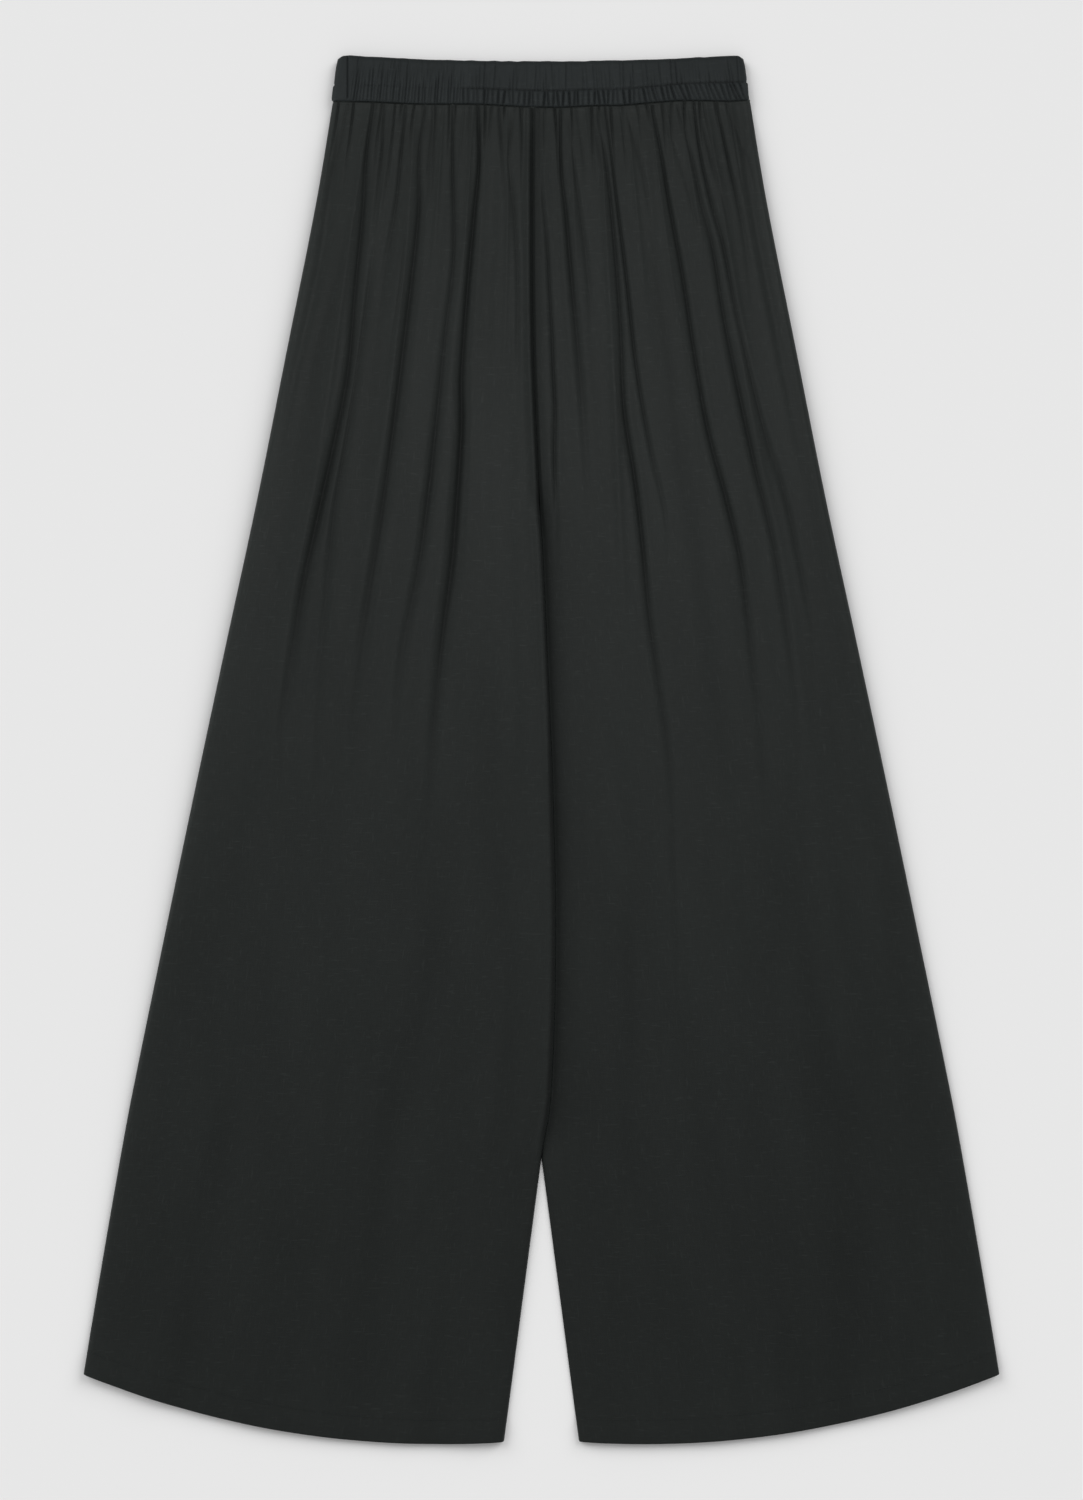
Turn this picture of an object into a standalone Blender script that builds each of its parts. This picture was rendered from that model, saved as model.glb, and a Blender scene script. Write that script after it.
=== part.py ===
"""Palazzo pants lying flat, front up: four leg panels and an elasticated waistband casing.

Metres, +Z up. The waist points along +Y, the wearer's left side lies at +X, and the cloth rests
on Z = 0. The origin is on that plane, under the middle of the garment's outline.
"""

import math
from collections import namedtuple

import bmesh
import bpy

MM = 0.001
RIGHT = -1  # the wearer's right leg, at -X
LEFT = 1  # the wearer's left leg, at +X

# Driving dimensions of the whole garment.
LENGTH = 1.080  # top of the waistband to the lowest point of a hem
SEAM_GAP = 0.3 * MM  # kept between neighbouring pieces
BAND_GAP = 0.45 * MM  # a little more below the waistband, where the panels' faces tilt towards it
CLOTH = 1.2 * MM  # wall of a single ply, as modelled
HEM_CLOTH = 2.0 * MM  # wall where the hem is turned up
HEM_DEPTH = 20 * MM

# Waistband casing: a flattened ring round an elastic.
BAND_HEIGHT = 34.6 * MM
BAND_WALL = 2.2 * MM  # two plies and the elastic between them
BAND_THICKNESS = 6.4 * MM  # the flattened ring, outside to outside
BAND_TOP_HALF = 157.6 * MM
BAND_LOW_HALF = 162.4 * MM
BAND_SAG = 4.2 * MM  # how much lower its middle lies than its ends
BAND_SIDE_STEPS = 16  # faces along each side and round each end: together half of a multiple of 4
BAND_END_STEPS = 6
BAND_ROWS = 3

# Outline of the legs, top to bottom. seam_x is the line where the two halves meet: the front and
# back rise seams down to the crotch, and below it the legs lying against each other.
Section = namedtuple("Section", "y half_width seam_x")
SECTIONS = (
    Section(y=0.510, half_width=0.1612, seam_x=-0.0070),
    Section(y=0.428, half_width=0.1748, seam_x=-0.0076),
    Section(y=0.311, half_width=0.1980, seam_x=-0.0066),
    Section(y=0.194, half_width=0.2213, seam_x=-0.0016),
    Section(y=0.078, half_width=0.2463, seam_x=0.0035),
    Section(y=-0.039, half_width=0.2712, seam_x=0.0082),
    Section(y=-0.156, half_width=0.2955, seam_x=0.0101),
    Section(y=-0.272, half_width=0.3192, seam_x=0.0062),
    Section(y=-0.317, half_width=0.3275, seam_x=0.0000),
    Section(y=-0.389, half_width=0.3400, seam_x=0.0000),
    Section(y=-0.485, half_width=0.3560, seam_x=0.0000),
    Section(y=-0.545, half_width=0.3650, seam_x=0.0000),
)
CROTCH_Y = 0.194
FORK_Y = -0.317  # the legs part here
FORK_SLOPE = 0.132  # how fast each inner edge then leaves the middle
HEM_OUTER_Y = -0.485  # hem's height at the side seam
HEM_DIP = 54.9 * MM  # the hem's lowest point lies this much lower
HEM_LOWEST_AT = 0.85  # share of the way from the side seam to the inseam
HEM_CURVE = 2.2

# Lie of the front: how high its inner face stands over the back.
WAIST_LOFT = 2.2 * MM
LEG_LOFT = 1.1 * MM
HEM_LOFT = 1.7 * MM
WAIST_LOFT_END = 0.6  # share of the panel's length by which the waist's loft has gone
HEM_LOFT_START = 0.8  # and from which the hem's begins
HEM_PLY_START = 0.9  # the front starts to climb onto the back's turned-up hem
HEM_PLY_END = 0.96
SIDE_ROLL = 9 * MM  # width of the roll down to a side seam
RISE_FLOOR = 0.45  # share of the loft left at the rise seam
RISE_FADE = 60 * MM  # it sinks to the inseam's level over this length above the crotch
FLAT_SHARE = 0.016  # share of a panel's width that stays flat beside a seam
INNER_ROLL = {RIGHT: 6 * MM, LEFT: 15 * MM}  # the right leg's edge stands up beside the left's
GATHER_START = 0.35  # share of a fold's height at the waistband
GATHER_RISE = 45 * MM  # the fold is at full height this far below it

# Largest folds of the front, as rounded ridges that fan out from the waistband.
Fold = namedtuple("Fold", "leg x_top x_end reach height width")
FRONT_FOLDS = (
    Fold(leg=RIGHT, x_top=-0.144, x_end=-0.200, reach=0.33, height=3.6 * MM, width=11 * MM),
    Fold(leg=RIGHT, x_top=-0.120, x_end=-0.148, reach=0.38, height=3.9 * MM, width=7 * MM),
    Fold(leg=RIGHT, x_top=-0.083, x_end=-0.113, reach=0.44, height=4.2 * MM, width=8 * MM),
    Fold(leg=RIGHT, x_top=-0.058, x_end=-0.079, reach=0.34, height=3.8 * MM, width=6 * MM),
    Fold(leg=RIGHT, x_top=-0.029, x_end=-0.032, reach=0.64, height=4.4 * MM, width=13 * MM),
    Fold(leg=LEFT, x_top=0.005, x_end=0.004, reach=0.28, height=3.0 * MM, width=5 * MM),
    Fold(leg=LEFT, x_top=0.031, x_end=0.053, reach=0.56, height=4.4 * MM, width=12 * MM),
    Fold(leg=LEFT, x_top=0.069, x_end=0.134, reach=0.46, height=4.3 * MM, width=13 * MM),
    Fold(leg=LEFT, x_top=0.104, x_end=0.156, reach=0.35, height=3.8 * MM, width=8 * MM),
    Fold(leg=LEFT, x_top=0.131, x_end=0.199, reach=0.31, height=3.6 * MM, width=11 * MM),
)
# Largest folds of the back, as grooves that stand off the surface the cloth lies on.
BACK_FOLDS = (
    Fold(leg=RIGHT, x_top=-0.132, x_end=-0.182, reach=0.34, height=1.4 * MM, width=8 * MM),
    Fold(leg=RIGHT, x_top=-0.097, x_end=-0.128, reach=0.42, height=1.6 * MM, width=9 * MM),
    Fold(leg=RIGHT, x_top=-0.052, x_end=-0.066, reach=0.30, height=1.5 * MM, width=8 * MM),
    Fold(leg=LEFT, x_top=0.044, x_end=0.062, reach=0.39, height=1.6 * MM, width=9 * MM),
    Fold(leg=LEFT, x_top=0.083, x_end=0.122, reach=0.28, height=1.4 * MM, width=8 * MM),
    Fold(leg=LEFT, x_top=0.127, x_end=0.178, reach=0.36, height=1.5 * MM, width=8 * MM),
)

# Columns and rows of a panel's faces. Columns crowd towards the seams. Rows crowd towards the
# waist, one of them lies at the fork, and the last two stretches are the hem and the step to it.
Grid = namedtuple("Grid", "columns crowding")
FRONT_GRID = Grid(columns=36, crowding=0.45)
BACK_GRID = Grid(columns=16, crowding=0.35)
UPPER_ROWS = 13
ROW_CROWDING = 1.3
LOWER_ROWS = 4
ROWS = UPPER_ROWS + LOWER_ROWS + 2
HEM_STEP = 1.3  # the turned-up ply's edge starts to show at this many hem depths

CHARCOAL = (0.022, 0.025, 0.024, 1.0)
BAND_CHARCOAL = (0.023, 0.026, 0.027, 1.0)


def clear_scene():
    for item in list(bpy.data.objects):
        bpy.data.objects.remove(item, do_unlink=True)


def cloth_material(name, colour):
    material = bpy.data.materials.new(name)
    material.use_nodes = True
    shader = material.node_tree.nodes["Principled BSDF"]
    shader.inputs["Base Color"].default_value = colour
    shader.inputs["Roughness"].default_value = 0.9
    shader.inputs["Metallic"].default_value = 0.0
    return material


def ease(t):
    """0 at and before 0, 1 from 1 on, level at both ends."""
    t = min(max(t, 0.0), 1.0)
    return t * t * (3.0 - 2.0 * t)


def section_value(y, column):
    """A column of SECTIONS at height y, on a smooth curve through its rows."""
    rows = SECTIONS
    low = 0
    while low < len(rows) - 2 and rows[low + 1].y > y:
        low += 1
    first = rows[max(low - 1, 0)]
    start = rows[low]
    end = rows[low + 1]
    last = rows[min(low + 2, len(rows) - 1)]
    value = {row: getattr(row, column) for row in (first, start, end, last)}
    span = end.y - start.y
    t = (y - start.y) / span
    slope_start = (value[end] - value[first]) / (end.y - first.y) * span
    slope_end = (value[last] - value[start]) / (last.y - start.y) * span
    rise = value[end] - value[start]
    bend = (t - 1.0) * (slope_start * (t - 1.0) + slope_end * t) * t
    return value[start] + rise * ease(t) + bend


def outer_x(leg, y):
    return leg * section_value(y, "half_width")


def inner_x(leg, y):
    half_gap = SEAM_GAP / 2
    if y < FORK_Y:
        return leg * (half_gap + (FORK_Y - y) * FORK_SLOPE)
    return section_value(y, "seam_x") + leg * half_gap


def band_low_y(x):
    """Lower edge of the waistband, which sags a little in the middle."""
    sag = BAND_SAG * (1.0 - (x / BAND_LOW_HALF) ** 2)
    return LENGTH / 2 - BAND_HEIGHT - max(sag, 0.0)


def hem_y(u):
    """Height of the hem, from the side seam (u = 0) to the inseam (u = 1)."""
    away = abs(1.0 - u / HEM_LOWEST_AT)
    return HEM_OUTER_Y - HEM_DIP * (1.0 - away**HEM_CURVE)


def panel_xy(leg, u, v):
    """Point of a panel: u from side seam to inner seam, v from waistband to hem."""
    waist_y = LENGTH / 2 - BAND_HEIGHT
    top_x = outer_x(leg, waist_y) * (1.0 - u) + inner_x(leg, waist_y) * u
    top_y = band_low_y(top_x) - BAND_GAP
    y = top_y + (hem_y(u) - top_y) * v
    x = outer_x(leg, y) * (1.0 - u) + inner_x(leg, y) * u
    return x, y


def fold_height(folds, leg, x, y):
    """Height of the tallest fold at a point."""
    below = LENGTH / 2 - BAND_HEIGHT - y
    tallest = 0.0
    for fold in folds:
        along = below / fold.reach
        if fold.leg != leg or along >= 1.0:
            continue
        middle = fold.x_top + (fold.x_end - fold.x_top) * along
        start = GATHER_START + (1.0 - GATHER_START) * ease(below / GATHER_RISE)
        fade = 1.0 - ease(along)
        across = math.exp(-(((x - middle) / fold.width) ** 2))
        tallest = max(tallest, fold.height * start * fade * across)
    return tallest


def seam_levels(leg, x, y):
    """How free the cloth is of its seams here: 0 at a flat seam, 1 away from it."""
    outer, inner = outer_x(leg, y), inner_x(leg, y)
    flat = FLAT_SHARE * abs(outer - inner)
    side = ease((abs(x - outer) - flat) / SIDE_ROLL)
    floor = RISE_FLOOR * ease((y - CROTCH_Y) / RISE_FADE)
    middle = floor + (1.0 - floor) * ease((abs(x - inner) - flat) / INNER_ROLL[leg])
    return side * middle


def front_base(leg, x, y, v):
    """Inner face of the front: on the back's ply at the seams, and standing off it between them."""
    onto_hem = ease((v - HEM_PLY_START) / (HEM_PLY_END - HEM_PLY_START))
    back_ply = CLOTH + (HEM_CLOTH - CLOTH) * onto_hem
    loft = WAIST_LOFT + (LEG_LOFT - WAIST_LOFT) * ease(v / WAIST_LOFT_END)
    loft += (HEM_LOFT - LEG_LOFT) * ease((v - HEM_LOFT_START) / (1.0 - HEM_LOFT_START))
    lift = loft + fold_height(FRONT_FOLDS, leg, x, y)
    return back_ply + SEAM_GAP + lift * seam_levels(leg, x, y)


def back_base(leg, x, y, v):
    """Underside of the back: on the surface, but for its grooves."""
    return fold_height(BACK_FOLDS, leg, x, y) * seam_levels(leg, x, y)


def crowded(t, crowding):
    return t - crowding * math.sin(2.0 * math.pi * t) / (2.0 * math.pi)


def row_place(row):
    """Share of the panel's length at a row."""
    hem = HEM_DEPTH / LENGTH
    waist_y = band_low_y(0.0)
    fork = (waist_y - FORK_Y) / (waist_y - hem_y(1.0))
    if row <= UPPER_ROWS:
        return fork * (row / UPPER_ROWS) ** ROW_CROWDING
    if row <= UPPER_ROWS + LOWER_ROWS:
        return fork + (1.0 - HEM_STEP * hem - fork) * (row - UPPER_ROWS) / LOWER_ROWS
    return 1.0 - hem * (ROWS - row)


def leg_panel(name, leg, grid, base, collection, material):
    """One panel: a grid laid over the panel's outline and folds, given the cloth's thickness."""
    mesh = bpy.data.meshes.new(name)
    shape = bmesh.new()
    bmesh.ops.create_grid(shape, x_segments=grid.columns, y_segments=ROWS, size=0.5)
    hem_row = []
    for index, vertex in enumerate(shape.verts):
        across = vertex.co.x + 0.5
        row = round((0.5 - vertex.co.y) * ROWS)
        u = crowded(across if leg == RIGHT else 1.0 - across, grid.crowding)
        v = row_place(row)
        x, y = panel_xy(leg, u, v)
        vertex.co = (x, y, base(leg, x, y, v))
        if row >= ROWS - 1:
            hem_row.append(index)
    shape.to_mesh(mesh)
    shape.free()
    panel = bpy.data.objects.new(name, mesh)
    collection.objects.link(panel)
    panel.data.materials.append(material)
    # The weight is the share of the turned-up hem's thickness that the cloth has.
    plies = panel.vertex_groups.new(name="plies")
    plies.add(list(range(len(mesh.vertices))), CLOTH / HEM_CLOTH, "REPLACE")
    plies.add(hem_row, 1.0, "REPLACE")
    wall = panel.modifiers.new("cloth", "SOLIDIFY")
    wall.thickness = HEM_CLOTH
    wall.offset = 1.0
    wall.vertex_group = plies.name
    mesh.shade_smooth()
    return panel


def band_section(half_width):
    """Flattened ring in X and Z, outer face, run so that the ring's faces point out."""
    radius = BAND_THICKNESS / 2
    straight = half_width - radius
    points = []
    for step in range(BAND_SIDE_STEPS):
        points.append((straight - 2 * straight * step / BAND_SIDE_STEPS, BAND_THICKNESS))
    for step in range(BAND_END_STEPS):
        turn = math.pi / 2 + math.pi * step / BAND_END_STEPS
        points.append((-straight + radius * math.cos(turn), radius + radius * math.sin(turn)))
    for step in range(BAND_SIDE_STEPS):
        points.append((-straight + 2 * straight * step / BAND_SIDE_STEPS, 0.0))
    for step in range(BAND_END_STEPS):
        turn = -math.pi / 2 + math.pi * step / BAND_END_STEPS
        points.append((straight + radius * math.cos(turn), radius + radius * math.sin(turn)))
    return points


def waistband(name, collection, material):
    """The casing: a flattened ring of cloth, open at the waist and closed all round."""
    steps = 2 * (BAND_SIDE_STEPS + BAND_END_STEPS)
    mesh = bpy.data.meshes.new(name)
    shape = bmesh.new()
    bmesh.ops.create_circle(shape, cap_ends=False, segments=steps, radius=1.0)
    edges = list(shape.edges)
    for _ in range(BAND_ROWS):
        made = bmesh.ops.extrude_edge_only(shape, edges=edges)["geom"]
        lower = [part for part in made if isinstance(part, bmesh.types.BMVert)]
        edges = [part for part in made if isinstance(part, bmesh.types.BMEdge)]
        bmesh.ops.translate(shape, verts=lower, vec=(0.0, 0.0, -1.0))
    # The plain tube is now bent: its turn becomes the place round the section, its depth the row.
    for vertex in shape.verts:
        place = round(math.atan2(vertex.co.y, vertex.co.x) / (2 * math.pi) * steps) % steps
        down = -vertex.co.z / BAND_ROWS
        half_width = BAND_TOP_HALF + (BAND_LOW_HALF - BAND_TOP_HALF) * down
        x, z = band_section(half_width)[place]
        vertex.co = (x, band_low_y(x) + BAND_HEIGHT * (1.0 - down), z)
    shape.to_mesh(mesh)
    shape.free()
    band = bpy.data.objects.new(name, mesh)
    collection.objects.link(band)
    band.data.materials.append(material)
    wall = band.modifiers.new("casing", "SOLIDIFY")
    wall.thickness = BAND_WALL
    wall.offset = -1.0
    mesh.shade_smooth()
    return band


clear_scene()
garment = bpy.data.collections.new("palazzo_pants")
bpy.context.scene.collection.children.link(garment)
for leg, side_name in ((RIGHT, "right"), (LEFT, "left")):
    for layer, layer_grid, layer_base in (
        ("front", FRONT_GRID, front_base),
        ("back", BACK_GRID, back_base),
    ):
        piece_name = f"{layer}_leg_{side_name}"
        cloth = cloth_material(piece_name, CHARCOAL)
        leg_panel(piece_name, leg, layer_grid, layer_base, garment, cloth)
waistband("waistband", garment, cloth_material("waistband", BAND_CHARCOAL))
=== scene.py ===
"""Looks of a pair of palazzo pants lying flat on a pale floor, front up.

Metres, +Z up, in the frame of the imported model: the waist points along +Y, the wearer's left side
lies at +X and the cloth rests on Z = 0. Tables of creases and lofts are in millimetres.
"""

import math
from collections import namedtuple

import bpy
import numpy as np
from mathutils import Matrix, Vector


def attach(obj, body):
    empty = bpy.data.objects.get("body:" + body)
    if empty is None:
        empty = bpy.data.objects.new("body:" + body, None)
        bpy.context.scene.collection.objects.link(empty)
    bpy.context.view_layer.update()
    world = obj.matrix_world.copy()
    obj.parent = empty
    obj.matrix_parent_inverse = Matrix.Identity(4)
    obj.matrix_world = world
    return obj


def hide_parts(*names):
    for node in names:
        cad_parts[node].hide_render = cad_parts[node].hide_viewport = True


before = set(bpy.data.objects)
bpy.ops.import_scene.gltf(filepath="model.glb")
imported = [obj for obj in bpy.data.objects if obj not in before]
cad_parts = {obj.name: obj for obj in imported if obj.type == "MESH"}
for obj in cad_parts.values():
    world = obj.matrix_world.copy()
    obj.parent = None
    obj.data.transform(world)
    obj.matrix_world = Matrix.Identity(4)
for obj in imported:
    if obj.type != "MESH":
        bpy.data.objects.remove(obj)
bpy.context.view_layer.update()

# -----------------------------------------------------------------------------
# Studio: a seamless white floor lit by two wide soft lights beyond the waist, an even room, and
# soft lamps over and beside the garment. The camera looks straight down on the garment's middle.

FLOOR_SIDE = 40.0
FLOOR_DROP = 0.0002  # the floor lies this far under the cloth's underside
FLOOR_COLOUR = (0.8, 0.8, 0.8, 1.0)
ROOM_STRENGTH = 0.509
WIDE_STRENGTH = 1.50
WIDE_ANGLE = 40.0  # degrees that each wide light spans
FRAME_ROWS = 1500  # of the picture
ROW_HEIGHT = 0.000778  # of each, in metres on the floor
LENS = 85.0
SENSOR = 36.0


def new_object(name, data, lit_with=None):
    """An object in the scene, and in a collection that some of the lights fall on."""
    made = bpy.data.objects.new(name, data)
    bpy.context.collection.objects.link(made)
    if lit_with is not None:
        lit_with.objects.link(made)
    return made


def new_material(name, constants):
    """A material and its shader, with these constants on the shader's own sockets."""
    material = bpy.data.materials.new(name)
    material.use_nodes = True
    shader = material.node_tree.nodes["Principled BSDF"]
    for socket, value in constants.items():
        shader.inputs[socket].default_value = value
    return material, shader


# The wide lights fall on the floor alone, and the lamps on the garment alone, so that the floor
# stays white while the cloth's tone falls off from the waist to the hems.
ground = bpy.data.collections.new("ground")
garment = bpy.data.collections.new("garment")

half_side = FLOOR_SIDE / 2
corners = ((-1, -1), (1, -1), (1, 1), (-1, 1))
floor_mesh = bpy.data.meshes.new("floor")
floor_mesh.from_pydata(
    [(x * half_side, y * half_side, -FLOOR_DROP) for x, y in corners], [], [(0, 1, 2, 3)]
)
floor_paint, _ = new_material(
    "studio_floor", {"Base Color": FLOOR_COLOUR, "Roughness": 0.9, "Specular IOR Level": 0.06}
)
floor_mesh.materials.append(floor_paint)
floor = new_object("floor", floor_mesh, ground)

world = bpy.data.worlds.new("studio_room")
world.use_nodes = True
room = world.node_tree.nodes["Background"]
room.inputs["Color"].default_value = (1.0, 1.0, 1.0, 1.0)
room.inputs["Strength"].default_value = ROOM_STRENGTH
bpy.context.scene.world = world


def soft_light(name, kind, place, strength, size, falls_on):
    """A soft light turned to the middle of the floor. A sun's size is its angle in degrees."""
    lamp = bpy.data.lights.new(name, kind)
    lamp.energy = strength
    if kind == "SUN":
        lamp.angle = math.radians(size)
    else:
        lamp.shape = "SQUARE"
        lamp.size = size
    holder = new_object(name, lamp)
    holder.location = place
    holder.rotation_mode = "QUATERNION"
    holder.rotation_quaternion = (-Vector(place)).to_track_quat("-Z", "Y")
    holder.light_linking.receiver_collection = falls_on


for name, x in (("left_light", -2.1), ("right_light", 2.1)):
    soft_light(name, "SUN", (x, 1.9, 1.7), WIDE_STRENGTH, WIDE_ANGLE, ground)
soft_light("waist_light", "AREA", (0.0, 0.40, 1.15), 5.75, 0.4, garment)
soft_light("side_light", "SUN", (-2.1, 0.9, 1.5), 0.3, 30.0, garment)
for side, strength in ((-1, 5.5), (1, 3.5)):
    soft_light(f"rim_light_{side}", "AREA", (side * 1.5, 0.1, 0.16), strength, 0.9, garment)

camera_data = bpy.data.cameras.new("camera")
camera_data.type = "PERSP"
camera_data.lens = LENS
camera_data.sensor_width = SENSOR
camera = new_object("camera", camera_data)
camera.location = (0.0, 0.0, FRAME_ROWS * ROW_HEIGHT * LENS / SENSOR)
bpy.context.scene.camera = camera
bpy.context.scene.view_settings.view_transform = "Standard"

# -----------------------------------------------------------------------------
# Cloth of the legs: a plain weave of uneven dull yarn, charcoal with a green cast. Thick places
# in the yarn show as short pale slubs, most of them along the weft.


def add_node(tree, kind, **settings):
    """A node with its settings or inputs set by name. The nodes stand in columns of eight."""
    column, row = divmod(len(tree.nodes), 8)
    node = tree.nodes.new(kind)
    node.location = (220 * column, -220 * row)
    for key, value in settings.items():
        if hasattr(node, key):
            setattr(node, key, value)
        else:
            node.inputs[key].default_value = value
    return node


def add_sockets(tree, in_out, sockets):
    """Inputs or outputs of a group, from their names and kinds."""
    for name, kind in sockets.items():
        tree.interface.new_socket(name, in_out=in_out, socket_type=f"NodeSocket{kind}")


def join(tree, *links):
    """Links, each from one node's output to another's input."""
    for start, output, end, entry in links:
        tree.links.new(start.outputs[output], end.inputs[entry])


def streak_noise(tree, given, along_weft, along_warp, seed, detail):
    """Noise with grains of these sizes in metres along the weft and along the warp."""
    scale = add_node(tree, "ShaderNodeVectorMath", operation="MULTIPLY")
    scale.inputs[1].default_value = (1.0 / along_weft, 1.0 / along_warp, 1.0)
    shift = add_node(tree, "ShaderNodeVectorMath", operation="ADD")
    shift.inputs[1].default_value = (seed * 3.7, seed * 5.3, seed * 1.9)
    noise = add_node(tree, "ShaderNodeTexNoise", noise_dimensions="3D", Scale=1.0, Detail=detail)
    join(tree, (given, "Cut", scale, 0), (scale, 0, shift, 0), (shift, 0, noise, "Vector"))
    return noise.outputs["Fac"]


def map_range(tree, value, low, high, to_low, to_high):
    """A value's range from low to high mapped to another range, and clamped to it."""
    ends = {"From Min": low, "From Max": high, "To Min": to_low, "To Max": to_high}
    node = add_node(tree, "ShaderNodeMapRange", clamp=True, **ends)
    tree.links.new(value, node.inputs["Value"])
    return node.outputs["Result"]


def combine(tree, operation, first, second):
    """Arithmetic on two values, of which each is a number or a socket."""
    node = add_node(tree, "ShaderNodeMath", operation=operation)
    for socket, value in zip(node.inputs, (first, second)):
        if isinstance(value, (int, float)):
            socket.default_value = value
        else:
            tree.links.new(value, socket)
    return node.outputs[0]


YARN_CONTRAST = 0.26


def slub_weave():
    """Group: a slubbed plain weave, from the cut's own coordinates in metres."""
    tree = bpy.data.node_groups.new("slub_weave", "ShaderNodeTree")
    entries = {"Cut": "Vector", "Colour": "Color", "Slubs": "Float", "Mottle": "Float"}
    add_sockets(tree, "INPUT", entries)
    add_sockets(tree, "OUTPUT", {"Colour": "Color", "Roughness": "Float", "Height": "Float"})
    given = add_node(tree, "NodeGroupInput")
    made = add_node(tree, "NodeGroupOutput")
    weft = streak_noise(tree, given, 0.009, 0.0006, seed=1, detail=2.0)
    warp = streak_noise(tree, given, 0.0006, 0.009, seed=2, detail=2.0)
    weft_slub = streak_noise(tree, given, 0.0085, 0.0013, seed=3, detail=1.0)
    warp_slub = streak_noise(tree, given, 0.0013, 0.0090, seed=4, detail=1.0)
    mottle = streak_noise(tree, given, 0.024, 0.110, seed=5, detail=3.0)
    weft_mark = map_range(tree, weft_slub, 0.63, 0.78, 0.0, 1.0)
    warp_mark = map_range(tree, warp_slub, 0.64, 0.79, 0.0, 0.8)
    marks = combine(tree, "MAXIMUM", weft_mark, warp_mark)
    marks = combine(tree, "MULTIPLY", marks, given.outputs["Slubs"])
    threads = combine(tree, "ADD", weft, warp)
    threads = combine(tree, "SUBTRACT", threads, 1.0)
    clouds = combine(tree, "SUBTRACT", mottle, 0.5)
    clouds = combine(tree, "MULTIPLY", clouds, given.outputs["Mottle"])
    tone = combine(tree, "MULTIPLY", threads, YARN_CONTRAST)
    for part in (clouds, marks, 1.0):
        tone = combine(tree, "ADD", tone, part)
    tint = add_node(tree, "ShaderNodeVectorMath", operation="SCALE")
    join(tree, (given, "Colour", tint, 0), (tint, 0, made, "Colour"))
    tree.links.new(tone, tint.inputs["Scale"])
    rough = map_range(tree, marks, 0.0, 0.5, 0.5, 0.45)
    tree.links.new(rough, made.inputs["Roughness"])
    tree.links.new(combine(tree, "ADD", threads, marks), made.inputs["Height"])
    return tree


WEAVE = slub_weave()
CUT_MAP = "cut"  # UV map in metres on the flat cloth
PAINTED_LIGHT_AND_SHADE = "painted_light_and_shade"  # multiplies the cloth's colour: painted shade below 1 in creases, tucks and where the legs meet; painted light above 1 on the rolled sides, crests and seams


def cloth_material(name, colour, slubs, mottle):
    """Slubbed cloth of a colour, whose slubs and mottle are this much paler or darker."""
    material, shader = new_material(name, {"Specular IOR Level": 0.055})
    tree = material.node_tree
    cut = add_node(tree, "ShaderNodeUVMap", uv_map=CUT_MAP)
    weave = add_node(tree, "ShaderNodeGroup", node_tree=WEAVE)
    for entry, value in (("Colour", colour), ("Slubs", slubs), ("Mottle", mottle)):
        weave.inputs[entry].default_value = value
    bump = add_node(tree, "ShaderNodeBump", Strength=0.5, Distance=0.00012)
    # The cloth's colour is scaled by the light and shade painted on the mesh.
    painted_light_and_shade = add_node(tree, "ShaderNodeAttribute", attribute_name=PAINTED_LIGHT_AND_SHADE)
    shaded = add_node(tree, "ShaderNodeVectorMath", operation="SCALE")
    join(
        tree,
        (cut, "UV", weave, "Cut"),
        (weave, "Colour", shaded, 0),
        (painted_light_and_shade, "Fac", shaded, "Scale"),
        (shaded, 0, shader, "Base Color"),
        (weave, "Roughness", shader, "Roughness"),
        (weave, "Height", bump, "Height"),
        (bump, "Normal", shader, "Normal"),
    )
    return material


LEG_CLOTH = cloth_material("leg_cloth", (0.0183, 0.0206, 0.0197, 1.0), 0.30, 0.25)

# -----------------------------------------------------------------------------
# Sewing thread: dark spun polyester. A row of lockstitches shows as short raised dashes, sunk a
# little into the cloth, none of them quite like the last.

MM = 0.001


def thread_material(name, colour):
    spun = {"Base Color": colour, "Roughness": 0.55, "Specular IOR Level": 0.15}
    return new_material(name, spun)[0]


HEM_THREAD = thread_material("hem_thread", (0.0180, 0.0210, 0.0212, 1.0))
HEM_STITCH = {"Pitch": 3.3 * MM, "Stitch Length": 2.5 * MM, "Thread Width": 0.24 * MM}


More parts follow.
